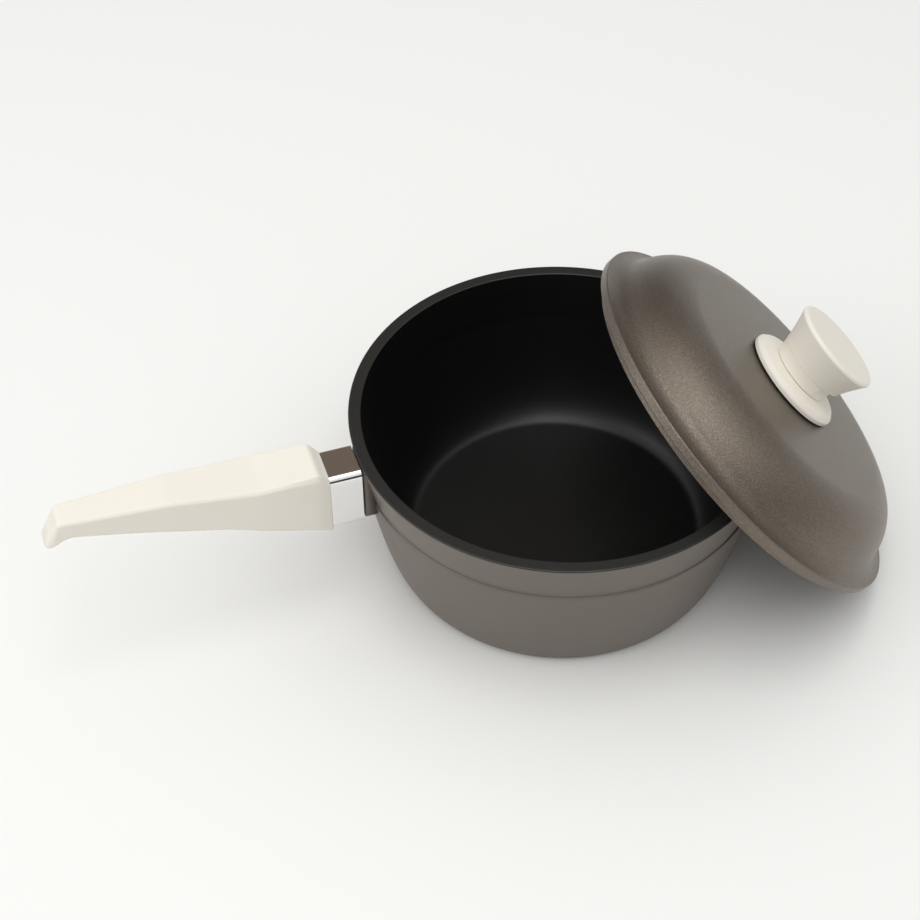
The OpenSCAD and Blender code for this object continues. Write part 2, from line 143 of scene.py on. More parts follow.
def skin(name, grid, ring_rows=False, bands=None):
    """Mesh through a grid of points, rows by columns. Columns always close on themselves. Rows close too if
    ring_rows is set; otherwise each end is closed by a fan about the middle of its ring. Faces point outwards
    because the signed volume, the sum of p . (q x r) / 6, is made positive. bands gives each row's material."""
    rows, columns = grid.shape[:2]
    points = grid.reshape(-1, 3)
    row = np.arange(rows if ring_rows else rows - 1)
    here = row[:, None] * columns + np.arange(columns)
    side = row[:, None] * columns + (np.arange(columns) + 1) % columns
    over = ((row + 1) % rows)[:, None] * columns
    quads = np.stack([here, side, over + (np.arange(columns) + 1) % columns, over + np.arange(columns)], -1)
    faces = quads.reshape(-1, 4)
    fans = np.zeros((0, 3), int)
    if not ring_rows:
        ring = np.arange(columns)
        after = (ring + 1) % columns
        foot = np.column_stack([np.full(columns, len(points)), after, ring])
        last = (rows - 1) * columns
        head = np.column_stack([np.full(columns, len(points) + 1), last + ring, last + after])
        fans = np.vstack([foot, head])
        points = np.vstack([points, grid[0].mean(0), grid[-1].mean(0)])
    triangles = np.vstack([faces[:, [0, 1, 2]], faces[:, [0, 2, 3]], fans])
    p, q, r = (points[triangles[:, i]] for i in range(3))
    if np.einsum("ij,ij->i", p, np.cross(q, r)).sum() < 0:
        faces, fans = faces[:, ::-1], fans[:, ::-1]
    mesh = bpy.data.meshes.new(name)
    mesh.vertices.add(len(points))
    mesh.vertices.foreach_set("co", points.astype(np.float32).ravel())
    mesh.loops.add(faces.size + fans.size)
    mesh.loops.foreach_set("vertex_index", np.concatenate([faces.ravel(), fans.ravel()]).astype(np.int32))
    sizes = np.concatenate([np.full(len(faces), 4), np.full(len(fans), 3)])
    mesh.polygons.add(len(sizes))
    mesh.polygons.foreach_set("loop_start", (np.cumsum(sizes) - sizes).astype(np.int32))
    if bands is not None:
        material = np.repeat(np.asarray(bands, np.int32)[: len(row)], columns)
        ends = np.repeat([bands[0], bands[-1]], columns) if len(fans) else []
        mesh.polygons.foreach_set("material_index", np.concatenate([material, ends]).astype(np.int32))
    mesh.polygons.foreach_set("use_smooth", np.ones(len(sizes), bool))
    mesh.update(calc_edges=True)
    mesh.validate()
    piece = bpy.data.objects.new(name, mesh)
    bpy.context.scene.collection.objects.link(piece)
    return piece


def stand_for(piece, body, slot, *nodes):
    """Puts a finished piece on its body, in place of its frame nodes."""
    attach(piece, body)
    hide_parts(*nodes)


# ---- Shader sums ----


class Signal:
    """One output socket. Sums on signals add Math nodes."""

    def __init__(self, finish, socket):
        self.finish = finish
        self.socket = socket

    def sum(self, operation, first, second=None):
        values = {0: first} if second is None else {0: first, 1: second}
        return self.finish.node("ShaderNodeMath", {"operation": operation}, values)

    def __add__(self, other):
        return self.sum("ADD", self, other)

    def __radd__(self, other):
        return self.sum("ADD", other, self)

    def __mul__(self, other):
        return self.sum("MULTIPLY", self, other)

    def __rmul__(self, other):
        return self.sum("MULTIPLY", other, self)

    def __pow__(self, other):
        return self.sum("POWER", self, other)

    def sine(self):
        return self.sum("SINE", self)


class Finish:
    """One material: a Principled shader with its constants set on its sockets, and signals fed to the
    rest."""

    def __init__(self, name, **constants):
        self.material = bpy.data.materials.new(name)
        self.material.use_nodes = True
        self.tree = self.material.node_tree
        self.shader = self.tree.nodes["Principled BSDF"]
        for socket, value in constants.items():
            self.shader.inputs[socket.replace("_", " ")].default_value = value

    def node(self, kind, settings=None, values=None, output=0):
        """Any node: its settings first, then the values or links of its sockets."""
        made = self.tree.nodes.new(kind)
        for key, value in (settings or {}).items():
            setattr(made, key, value)
        for key, value in (values or {}).items():
            if isinstance(value, Signal):
                self.tree.links.new(value.socket, made.inputs[key])
            else:
                made.inputs[key].default_value = value
        return Signal(self, made.outputs[output])

    def feed(self, socket, signal):
        self.tree.links.new(signal.socket, self.shader.inputs[socket])

    def place(self):
        return self.node("ShaderNodeTexCoord", output="Object")

    def noise(self, scale, detail=3.0, rough=0.5, vector=None):
        values = {"Vector": vector or self.place(), "Scale": scale, "Detail": detail, "Roughness": rough}
        return self.node("ShaderNodeTexNoise", None, values)

    def between(self, signal, low, high):
        """Smooth step from 0 at the low value to 1 at the high one."""
        values = {0: signal, 1: low, 2: high, 3: 0.0, 4: 1.0}
        return self.node("ShaderNodeMapRange", {"interpolation_type": "SMOOTHSTEP"}, values)

    def blend(self, share, first, second):
        settings = {"data_type": "RGBA", "blend_type": "MIX"}
        return self.node("ShaderNodeMix", settings, {0: share, 6: first, 7: second}, output=2)

    def relief(self, height, depth, strength):
        values = {"Height": height, "Distance": depth, "Strength": strength}
        self.feed("Normal", self.node("ShaderNodeBump", None, values))

    def axes(self):
        """X, Y and Z of the place, as three signals."""
        split = self.node("ShaderNodeSeparateXYZ", None, {0: self.place()})
        return [Signal(self, split.socket.node.outputs[i]) for i in range(3)]

    def radius(self):
        """Distance from the pan's axis: the root of x^2 + y^2."""
        x, y, _ = self.axes()
        return (x * x + y * y) ** 0.5


def shade(colour, share):
    """The colour times a share, as red, green, blue, alpha."""
    return (*(min(1.0, c * share) for c in colour), 1.0)


def satin_coating(name, colour):
    """Satin coating on cast metal: fine stipple and slow drift in colour."""
    f = Finish(name, Metallic=0.35, Specular_IOR_Level=0.5)
    drift = f.noise(14.0, 2.0)
    stipple = f.noise(2600.0, 2.0, 0.6)
    speck = f.between(stipple, 0.35, 0.68)
    base = f.blend(drift, shade(colour, 0.93), shade(colour, 1.06))
    f.feed("Base Color", f.blend(speck * 0.35, base, shade(colour, 1.3)))
    f.feed("Roughness", 0.4 + 0.08 * drift + 0.05 * speck)
    f.relief(stipple + 0.3 * f.noise(700.0, 2.0), 0.00004, 0.5)
    return f.material


def nonstick(name, colour):
    """Black non-stick: soft gloss, faint turned rings, tiny pale flecks."""
    f = Finish(name, Specular_IOR_Level=0.5)
    rings = (f.radius() * 5200.0).sine() * 0.5 + 0.5
    orange = f.noise(900.0, 2.0)
    fleck = f.between(f.noise(3100.0, 1.0), 0.7, 0.78)
    f.feed("Base Color", f.blend(fleck * 0.12, shade(colour, 1.0), (0.12, 0.12, 0.115, 1)))
    f.feed("Roughness", 0.36 + 0.1 * f.noise(30.0, 2.0) + 0.03 * rings)
    f.relief(orange + rings * 0.35, 0.00003, 0.4)
    return f.material


def grained_coating(name, colour):
    """Grained metallic coating: fine flake over a darker ground, with a pebbled skin that breaks up
    highlights."""
    f = Finish(name, Metallic=0.85, Specular_IOR_Level=0.5)
    flakes = {"Vector": f.place(), "Scale": 2900.0}
    cells = f.node("ShaderNodeTexVoronoi", {"feature": "F1"}, flakes, output="Color")
    flake = f.node("ShaderNodeSeparateColor", None, {0: cells})
    grain = f.noise(1700.0, 2.5, 0.65)
    cloud = f.noise(22.0, 3.0)
    ground = f.blend(cloud, shade(colour, 0.88), shade(colour, 1.1))
    bright = f.between(flake, 0.55, 1.0)
    f.feed("Base Color", f.blend(bright * 0.5, ground, shade(colour, 1.9)))
    f.feed("Roughness", 0.24 + 0.1 * grain + 0.05 * flake)
    f.relief(grain + 0.3 * flake, 0.00030, 0.85)
    return f.material


def moulded_ivory(name, colour):
    """Soft matt moulded plastic: fine spark texture and a slow change of tone."""
    f = Finish(name, Specular_IOR_Level=0.42, Subsurface_Weight=0.04, Subsurface_Scale=0.004)
    f.shader.inputs["Subsurface Radius"].default_value = (1.0, 0.6, 0.35)
    tone = f.noise(35.0, 3.0)
    spark = f.noise(3400.0, 3.0, 0.6)
    f.feed("Base Color", f.blend(tone, shade(colour, 0.97), shade(colour, 1.02)))
    f.feed("Roughness", 0.42 + 0.08 * tone + 0.06 * spark)
    f.relief(spark, 0.00003, 0.35)
    return f.material


def polished_metal(name, colour):
    """Polished sheet metal: near mirror, with a faint haze of buffing lines."""
    f = Finish(name, Metallic=1.0)
    x, y, z = f.axes()
    drawn = f.node("ShaderNodeCombineXYZ", None, {0: x * 9000.0, 1: y * 90.0, 2: z * 90.0})
    lines = f.noise(1.0, 2.0, 0.5, drawn)
    haze = f.noise(60.0, 2.0)
    f.feed("Base Color", f.blend(haze, shade(colour, 0.97), shade(colour, 1.0)))
    f.feed("Roughness", 0.06 + 0.06 * haze + 0.03 * lines)
    f.relief(lines, 0.000006, 0.3)
    return f.material


def plated_steel(name, colour, turning=5000.0):
    """Turned and plated steel: rings about the pan's axis and a patchy roughness."""
    f = Finish(name, Metallic=1.0)
    rings = (f.radius() * turning).sine() * 0.5 + 0.5
    patch = f.noise(120.0, 3.0)
    f.feed("Base Color", f.blend(patch, shade(colour, 0.9), shade(colour, 1.04)))
    f.feed("Roughness", 0.26 + 0.12 * patch + 0.05 * rings)
    f.relief(rings + 0.4 * patch, 0.00002, 0.35)
    return f.material


def soft_rubber(name, colour):
    """Matt black rubber: dusty tone and a fine skin."""
    f = Finish(name, Specular_IOR_Level=0.35)
    dust = f.noise(90.0, 4.0)
    f.feed("Base Color", f.blend(dust, shade(colour, 0.8), shade(colour, 1.6)))
    f.feed("Roughness", 0.62 + 0.2 * dust)
    f.relief(f.noise(2500.0, 3.0), 0.00003, 0.4)
    return f.material


def dress(piece, *materials):
    """Gives a piece its materials, one for each of its slots."""
    slots = piece.data.materials
    for i, material in enumerate(materials):
        if i < len(slots):
            slots[i] = material
        else:
            slots.append(material)


# ---- Sizes and colours ----


def length(name, description, value):
    """A length property, with its default given in millimetres."""
    kind = {"unit": "LENGTH", "subtype": "DISTANCE"}
    return FloatProperty(name=name, description=description, default=value * MM, **kind)


def colour(name, description, value):
    """A colour property, with its default as red, green and blue."""
    kind = {"subtype": "COLOR", "size": 3, "min": 0, "max": 1}
    return FloatVectorProperty(name=name, description=description, default=value, **kind)


class SaucepanPan(bpy.types.PropertyGroup):
    rim_radius: length("Rim radius", "Outer radius of the rim", 95.8)
    rim_width: length("Rim width", "Width of the flat rim", 5.8)
    rim_round: length("Rim rounding", "Rounding of the rim's outer corner", 0.9)
    ledge_height: length("Ledge height", "Height of the ledge around the outside", 60.0)
    base_radius: length("Base radius", "Radius of the flat base", 75.1)
    coating: colour("Outside", "Satin coating outside", (0.158, 0.135, 0.115))
    lining: colour("Inside", "Non-stick lining", (0.0035, 0.0038, 0.0036))
    # Rim: the lining on the rim's top and outer rounding, painted lighter than the lining inside as painted
    # light where the rim catches the light
    rim_painted_light_tone: colour("Rim", "Lining where it covers the rim", (0.016, 0.0155, 0.014))


class SaucepanHandle(bpy.types.PropertyGroup):
    bevel: length("Bevel", "Bevel along the top edges", 1.3)
    facet: length("Facet", "Width of the facet next to the ferrule", 1.7)
    edge_round: length("Edge rounding", "Rounding of the grip's edges", 0.9)
    under_round: length("Underside rounding", "Rounding of the grip's lower edges", 2.4)
    access_radius: length("Access radius", "Radius of the channel to the handle screw", 5.6)
    ivory: colour("Ivory", "Moulded handle and knob", (0.865, 0.82, 0.735))
    metal: colour("Metal", "Polished ferrule", (0.86, 0.85, 0.84))


class SaucepanLid(bpy.types.PropertyGroup):
    radius: length("Radius", "Radius of the lid's edge", 93.68)
    top_height: length("Top height", "Height of the top above the face that sits on the rim", 28.6)
    wall: length("Wall", "Thickness of the lid's metal", 2.8)
    knob_radius: length("Knob radius", "Radius of the knob's top", 22.18)
    neck_radius: length("Neck radius", "Radius of the knob's neck at its foot", 15.2)
    flange_radius: length("Flange radius", "Radius of the flange under the knob", 24.9)
    coating: colour("Coating", "Grained coating of the lid", (0.184, 0.156, 0.128))


class SaucepanStudio(bpy.types.PropertyGroup):
    floor: colour("Floor", "Colour of the floor", (0.88, 0.88, 0.865))
    sky_strength: FloatProperty(name="Sky", description="Strength of the even light all round", default=0.93)


# ---- Pan ----


def pan_outline(s):
    """Outline of the pan from the recess under its base, up the outside, over the rim and down to the floor,
    in millimetres, with the finish of each stretch: 0 outside, 1 lining, 2 rim, a lighter copy of the lining
    painted on the rim as painted light. The side below the ledge and the bowl's foot are cubic curves."""
    rim, inner = s.rim_radius / MM, (s.rim_radius - s.rim_width) / MM
    top, ledge, base = RIM_TOP / MM, s.ledge_height / MM, s.base_radius / MM
    above_ledge, below_ledge = rim - 5.4, rim - 4.7
    wall_foot, floor_edge, floor_top = inner - 1.9, 65.1, 5.0
    disc, recess = 62.0, 0.8
    under = [(1.0, recess), (30.0, recess), (disc - 0.6, recess), (disc - 0.1, recess)]
    groove = [(disc, 0.6), (disc + 0.5, 0.5), (disc + 0.6, 0.05)]
    flat = [(62.8, 0), (63.4, 0), (72.0, 0), (74.4, 0)]
    side = cubic((base, 0), (base + 7.4, 0), (below_ledge, ledge - 3), (below_ledge, ledge - 0.12), 64)
    step = np.array([
        [below_ledge - 0.08, ledge + 0.03],
        [above_ledge + 0.1, ledge + 0.26],
        [above_ledge, ledge + 0.42],
        [above_ledge + 0.12, ledge + 0.9],
    ])
    corner = fillet((above_ledge, ledge), (rim, top), (inner, top), s.rim_round / MM, 9)
    edge = fillet((rim, top), (inner, top), (wall_foot, ledge), 0.7, 7)
    wall = np.linspace(edge[-1], (wall_foot, ledge), 14)[1:]
    bowl_foot = (79.64, floor_top), (floor_edge, floor_top)
    bowl = cubic((wall_foot, ledge), (wall_foot, ledge - 3), *bowl_foot, 72)[1:]
    floor = [(r, floor_top) for r in (63.0, 50.0, 30.0, 10.0, 1.0)]
    outside = np.vstack([under, groove, flat, side, step, corner[:-1]])
    rows = np.vstack([outside, corner[-1:], edge, wall, bowl, floor])
    finish = np.ones(len(rows), int)
    # Finish 2 covers the rim's outer rounding and flat top: the lining in a lighter colour, painted light on
    # the rim
    rounded, flat_rim = 8, 5
    finish[: len(outside) - rounded] = 0
    finish[len(outside) - rounded : len(outside) + flat_rim] = 2
    return rows, finish


def round_section(half_width, half_height, size, count=9):
    """Rectangle with round corners as (y, z): quarter circles about the four corner centres, joined in
    order."""
    a = np.linspace(0, np.pi / 2, count)
    turn = (np.arange(4)[:, None] * np.pi / 2 + a).ravel()
    signs = np.repeat(np.array([[1, 1], [-1, 1], [-1, -1], [1, -1]]), count, axis=0)
    centre = signs * np.array([half_width - size, half_height - size])
    return centre + size * np.column_stack([np.cos(turn), np.sin(turn)])


def boss_grid(s):
    """Boss for the handle: a rounded section carried out along -X. It starts on a cylinder inside the pan's
    wall, where x = -root(R^2 - y^2), and ends in a narrower neck that makes the seam beside the ferrule."""
    half_w = (FERRULE_HIGH.y - FERRULE_LOW.y) / 2
    half_h = (FERRULE_HIGH.z - FERRULE_LOW.z) / 2
    end = -FERRULE_HIGH.x
    wall = s.rim_radius - s.rim_width + 0.25 * MM
    set_back, neck_in = 0.5 * MM, 1.9 * MM
    big = round_section(half_w - set_back, half_h - set_back, 3.2 * MM)
    small = round_section(half_w - neck_in, half_h - neck_in, 2.8 * MM)
    start = -np.sqrt(wall**2 - big[:, 0] ** 2)
    stations = [(start, big)]
    back_and_share = ((2.2, 0.0), (1.35, 0.0), (1.15, 0.05), (1.0, 0.16), (0.92, 0.35), (0.9, 1.0), (0.0, 1.0))
    for back, share in back_and_share:
        section = big + share * (small - big)
        stations.append((np.full(len(big), -(end - back * MM)), section))
    return np.stack([np.column_stack([x, y[:, 0], y[:, 1] + HANDLE_Z]) for x, y in stations])


class SAUCEPAN_OT_pan(bpy.types.Operator):
    """Make the pan with its boss, and finish the disc in its base"""

    bl_idname = "saucepan.pan"
    bl_label = "Pan"

    def execute(self, context):
        s = context.scene.saucepan_pan
        rows, finish = pan_outline(s)
        grid = turned(rows, (0, 0, 0), (1, 0, 0), (0, 1, 0), (0, 0, 1), PAN_TURNS)
        pan = skin("pan", grid, bands=finish)
        outside = satin_coating("satin_taupe", s.coating)
        # The rim gets a lighter copy of the lining: painted light for the light that falls on the rim's top
        dress(pan, outside, nonstick("black_nonstick", s.lining), nonstick("rim_nonstick_painted_light", s.rim_painted_light_tone))
        boss = skin("handle_boss", boss_grid(s))
        dress(boss, outside)
        stand_for(pan, "pan", "pan_body", "pan_body")
        stand_for(boss, "pan", "pan_body", "pan_body")
        dress(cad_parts["base_disc"], plated_steel("turned_steel", STEEL))
        return {"FINISHED"}


# ---- Handle ----


def eased(s, line, window):
    """Broken line through the given points, averaged over a window so that its kinks are round."""
    at, values = zip(*line)
    offsets = np.linspace(-window, window, 17)
    return np.mean([np.interp(s + o, at, values) for o in offsets], axis=0)


def grip_grid(p):
    """Grip: for each station along its length, a six-cornered section between its top and underside lines,
    with every corner rounded by the quadratic curve through it. Near the tip the sections lean to match its
    slanted end, and narrow about their middle by r (1 - cos a) to round it."""
    start, end = -GRIP_HIGH.x / MM, -GRIP_LOW.x / MM
    top, mouth = GRIP_HIGH.z / MM, FERRULE_HIGH.z / MM
    lean, tip_round, dip = 6.8, 2.0, 3.6
    stretch = end - lean - start
    a = np.linspace(0, np.pi / 2, 10)
    mouth_rows, mouth_shrink = [0, 0.25, 0.6], [0.35, 0.1, 0.0]
    plain_rows = np.concatenate([np.arange(1.0, 9.0, 0.5), np.arange(9.0, stretch - 2.2, 1.0)])
    t = np.concatenate([mouth_rows, plain_rows, stretch - tip_round * (1 - np.sin(a))])
    shrink = np.concatenate([mouth_shrink, np.zeros(len(plain_rows)), tip_round * (1 - np.cos(a)) * 0.8])
    s_top = start + t
    share = np.clip((s_top - (end - 30)) / (30 - lean), 0, 1)
    s_low = s_top + lean * share**1.6

    belly, rise = start + 30, start + 69.5
    top_line = [(start, mouth), (start + 4.6, top - dip), (belly, top - dip), (rise, top), (end, top)]
    low_line = [
        (start - 9, 50.5),
        (start, 50.5),
        (start + 12.2, 55.9),
        (start + 45.1, 67.8),
        (start + 75.6, 74.9),
        (start + 90.3, 78.1),
        (end - 12, 81.7),
        (end - 8.5, 81.1),
        (end - 3.8, 77.9),
        (end, 76.8),
        (end + 9, 76.8),
    ]
    plan = [(start, 10.3), (start + 4.6, 11.6), (belly, 12.2), (rise, 9.6), (end - 12, 6.9), (end, 6.0)]
    top_z = eased(s_top, top_line, 1.2)
    low_z = np.maximum(eased(s_low, low_line, 1.6), GRIP_LOW.z / MM)
    width, width_low = eased(s_top, plan, 3.0), eased(s_low, plan, 3.0)

    facet, plain, under = p.facet / MM, p.bevel / MM, p.under_round / MM
    facet_at = [start, start + 5, start + 21, end]
    bevel = np.interp(s_top, facet_at, [facet, facet * 0.8, plain, plain * 0.8])
    drop = np.interp(s_top, facet_at, [facet * 1.7, facet * 1.5, plain, plain * 0.8])
    lift = (drop / (top_z - low_z))[:, None]
    corners_y = np.stack([width - bevel, width + (width_low - width) * lift[:, 0], width_low], 1)
    corners_y = np.concatenate([corners_y, -corners_y[:, ::-1]], 1)
    side_z = top_z - drop
    corners_z = np.stack([top_z, side_z, low_z, low_z, side_z, top_z], 1)
    slope = (s_low - s_top)[:, None]
    slopes = np.concatenate([slope * 0, slope * lift, slope, slope, slope * lift, slope * 0], 1)
    corner = np.stack([-(slopes + s_top[:, None]), corners_y, corners_z], -1)

    middle = corner.mean(1, keepdims=True)
    reach = np.abs(corner - middle).max(1, keepdims=True)
    narrow = 1 - np.minimum(shrink[:, None, None] / np.maximum(reach, 0.1), 0.9)
    narrow[:, :, 0] = 1
    corner = middle + (corner - middle) * narrow

    rounds = np.array([0.5, 0.6, under, under, 0.6, 0.5]) * (p.edge_round / MM / 0.9)
    size, nudge = rounds[None, :, None], 0.25
    back = np.roll(corner, 1, 1) - corner
    on = np.roll(corner, -1, 1) - corner
    back_length = np.linalg.norm(back, axis=2, keepdims=True)
    on_length = np.linalg.norm(on, axis=2, keepdims=True)
    first = corner + back / back_length * np.minimum(size, back_length * 0.45)
    last = corner + on / on_length * np.minimum(size, on_length * 0.45)
    u = np.linspace(0, 1, 7)[None, None, :, None]
    curve = first[:, :, None] * (1 - u) ** 2 + 2 * corner[:, :, None] * u * (1 - u) + last[:, :, None] * u * u
    before = first + back / back_length * np.minimum(nudge, back_length * 0.04)
    beyond = last + on / on_length * np.minimum(nudge, on_length * 0.04)
    full = np.concatenate([before[:, :, None], curve, beyond[:, :, None]], 2)
    return full.reshape(len(s_top), -1, 3) * MM


def bored(piece, radius, start, end, z):
    """Cuts a round channel along -X out of a piece, with an exact Boolean that is applied at once."""
    a = np.linspace(0, 2 * np.pi, 64, endpoint=False)
    ring = np.column_stack([np.zeros(len(a)), radius * np.cos(a), z + radius * np.sin(a)])
    rod = skin("channel", np.stack([ring + [-start, 0, 0], ring + [-end, 0, 0]]))
    cut = piece.modifiers.new("channel", "BOOLEAN")
    cut.operation = "DIFFERENCE"
    cut.solver = "EXACT"
    cut.object = rod
    graph = bpy.context.evaluated_depsgraph_get()
    mesh = bpy.data.meshes.new_from_object(piece.evaluated_get(graph))
    piece.modifiers.clear()
    piece.data = mesh
    bpy.data.objects.remove(rod)
    mesh.set_sharp_from_angle(angle=math.radians(40))


class SAUCEPAN_OT_handle(bpy.types.Operator):
    """Make the grip, and finish the ferrule and the handle's fixings"""

    bl_idname = "saucepan.handle"
    bl_label = "Handle"

    def execute(self, context):
        s = context.scene.saucepan_handle
        grip = skin("grip_moulding", grip_grid(s))
        washer_face = -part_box("handle_flat_washer")[1].x
        channel_end = -GRIP_HIGH.x + 67 * MM
        bored(grip, s.access_radius, washer_face, channel_end, HANDLE_Z)
        dress(grip, moulded_ivory("ivory_grip", s.ivory))
        stand_for(grip, "pan", "grip", "grip")
        dress(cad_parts["ferrule"], polished_metal("polished_ferrule", s.metal))
        screw = plated_steel("plated_screw", PLATED, 9000.0)
        for node in ("handle_screw", "handle_flat_washer", "handle_spring_washer"):
            dress(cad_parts[node], screw)
        return {"FINISHED"}


# ---- Lid ----


def lid_surface(outline, s, turns):
    """Turns an outline about the lid's axis. Its heights are above the face that sits on the rim."""
    return turned(outline, SEAL_FOOT - s.top_height * LID_AXIS, LID_DOWN, LID_ACROSS, LID_AXIS, turns)


def lid_outline(s):
    """Closed outline of the lid about its hole, in millimetres: up the lip, around the edge, over the brim
    and the dome to the hole, and back along the inside. The brim is a cubic curve, the dome a quadratic."""
    edge, top, wall = s.radius / MM, s.top_height / MM, s.wall / MM
    lip, lip_inside, lip_end = 89.2, 86.9, -3.5
    foot, crown, hole = edge - 8.5, top - 0.8, 2.8
    flat, slope = 26.5, 27.5
    lower = fillet((lip - 2.2, lip_end), (lip, lip_end), (lip, 0), 0.5)
    seat = [(lip, -0.3), (lip + 0.05, -0.02), (lip + 0.4, 0.0)]
    nose = np.vstack([
        fillet((lip, 0), (edge, 0), (edge, 4), 0.6),
        fillet((edge, 0), (edge, 4), (edge - 2, 4.2), 0.7),
    ])
    brim = cubic((edge - 1.2, 4.08), (edge - 5.2, 4.75), (edge - 7.2, 6.2), (foot + 0.25, 8.5), 20)
    dome = quadratic((foot, 8.9), (edge - 14.5, crown - 1.7), (edge - 32.1, crown), 72)
    roof = [(60.4, crown + 0.05), (50, crown + 0.29), (38, crown + 0.56), (slope, top - 0.02)]
    bore = [(flat, top), (hole, top), (hole, top - wall), (flat, top - wall)]
    inner = [(slope, top - wall - 0.02), (50, crown + 0.29 - wall), (59.6, crown - wall + 0.02)]
    inside = quadratic((60.6, crown - wall), (edge - 17, crown - 1.7 - wall), (foot - wall - 0.6, 8.4), 48)
    corner = [(foot - wall - 0.3, 4.3), (foot - wall, 4.0), (86.6, 1.3), (86.4, 1.0), (86.5, 0.4)]
    lip_side = [(lip_inside, -2.6)]
    end = fillet((lip_inside, -2.0), (86.95, lip_end), (lip, lip_end), 0.5)
    return np.vstack([lower, seat, nose, brim, dome, roof, bore, inner, inside, corner, lip_side, end])


def flange_outline(s):
    """Outline of the flange under the knob, from its middle out and back up to the neck."""
    r, foot = s.flange_radius / MM, (s.top_height + SEAL_THICKNESS) / MM
    middle, neck, rim, top = 3.0, s.neck_radius / MM, foot + 1.95, foot + 3.9
    face = top + 1.4
    return np.vstack([
        [[middle, foot], [r - 1.2, foot]],
        fillet((r - 1.2, foot), (r, foot), (r, rim), 0.4),
        fillet((r, foot), (r, rim), (r - 1.9, top), 0.5),
        fillet((r, rim), (r - 1.9, top), (neck, face), 0.6),
        [[neck + 0.3, face - 0.03], [neck, face], [middle, face]],
    ])


def knob_grid(s):
    """Knob: turned about the lid's axis, with its radius held to the neck's inside the notch, whose ends ease
    over a few degrees. Its side is a quadratic curve from the neck out to the brim."""
    foot = (s.top_height + SEAL_THICKNESS) / MM + 5.3
    neck, r, height, size = s.neck_radius / MM, s.knob_radius / MM, 22.0, 1.6
    notch_height, notch_middle, notch_half, notch_ease = 6.95, -40, 54.0, 2.0
    brim = foot + height - size
    flare = quadratic((neck, foot), (neck + 0.4 * (r - neck), foot + 0.5 * height), (r, brim - 0.6), 90)
    a = np.linspace(0, np.pi / 2, 12)
    corner = np.column_stack([r - size + size * np.cos(a), brim + size * np.sin(a)])
    crown = foot + height
    top = [(r - size - 0.6, crown + 0.02), (r * 0.5, crown + 0.25), (2.0, crown + 0.4)]
    under = [(neck - 1.5, foot + 0.2), (neck - 0.4, foot + 0.2)]
    notch_rows = foot + np.array([6.85, notch_height, 7.0, 7.05, 7.15])
    at_notch = np.column_stack([np.interp(notch_rows, flare[:, 1], flare[:, 0]), notch_rows])
    upper = np.vstack([flare + [0, 0.3], corner, top, at_notch])
    rows = np.vstack([under, upper[np.argsort(upper[:, 1], kind="stable")]])
    grid = lid_surface(rows, s, KNOB_TURNS)
    turn = np.degrees(np.linspace(0, 2 * np.pi, KNOB_TURNS, endpoint=False))
    from_middle = np.abs((turn - notch_middle + 180) % 360 - 180)
    arc = 1 - np.clip((from_middle - notch_half) / notch_ease, 0, 1)
    below = 1 - np.clip((rows[:, 1] - foot - notch_height) / 0.1, 0, 1)
    cut = below[:, None] * arc[None, :]
    wanted = np.minimum(rows[:, 0], neck - 0.4)
    radius = rows[:, 0, None] + cut * (wanted - rows[:, 0])[:, None]
    share = radius / rows[:, 0, None]
    spine = SEAL_FOOT + (rows[:, 1, None, None] * MM - s.top_height) * LID_AXIS
    return spine + (grid - spine) * share[:, :, None]


class SAUCEPAN_OT_lid(bpy.types.Operator):
    """Make the lid's shell, and finish the soft parts and fixings under its knob"""

    bl_idname = "saucepan.lid"
    bl_label = "Lid"

    def execute(self, context):
        s = context.scene.saucepan_lid
        shell = skin("lid", lid_surface(lid_outline(s), s, LID_TURNS), ring_rows=True)
        dress(shell, grained_coating("grained_taupe", s.coating))
        stand_for(shell, "lid", "lid_shell", "lid_shell")
        rubber = soft_rubber("black_rubber", RUBBER)
        for node in ("knob_seal", "knob_soft_washer"):
            dress(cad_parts[node], rubber)
        steel = plated_steel("plated_washer", PLATED, 7000.0)
        for node in ("knob_screw", "knob_flat_washer"):
            dress(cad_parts[node], steel)
        dress(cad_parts["knob_insert"], plated_steel("turned_brass", BRASS, 8000.0))
        return {"FINISHED"}


class SAUCEPAN_OT_knob(bpy.types.Operator):
    """Make the knob and the flange under it"""

    bl_idname = "saucepan.knob"
    bl_label = "Knob"

    def execute(self, context):
        s = context.scene.saucepan_lid
        ivory = moulded_ivory("ivory_knob", context.scene.saucepan_handle.ivory)
        flange = skin("knob_rose", lid_surface(flange_outline(s), s, FLANGE_TURNS))
        knob = skin("knob", knob_grid(s))
        knob.data.set_sharp_from_angle(angle=math.radians(50))
        for piece, node in ((flange, "knob_flange"), (knob, "knob_body")):
            dress(piece, ivory)
            stand_for(piece, "lid", node, node)
        return {"FINISHED"}


# ---- Studio ----


def area_lamp(name, at, towards, size, power, tone=(1, 1, 1)):
    """Soft rectangular lamp at a place, facing another."""
    lamp = bpy.data.lights.new(name, "AREA")
    lamp.shape = "RECTANGLE"
    lamp.size, lamp.size_y = size
    lamp.energy = power
    lamp.color = tone
    made = bpy.data.objects.new(name, lamp)
    made.location = at
    made.rotation_euler = (Vector(towards) - Vector(at)).to_track_quat("-Z", "Y").to_euler()
    bpy.context.scene.collection.objects.link(made)


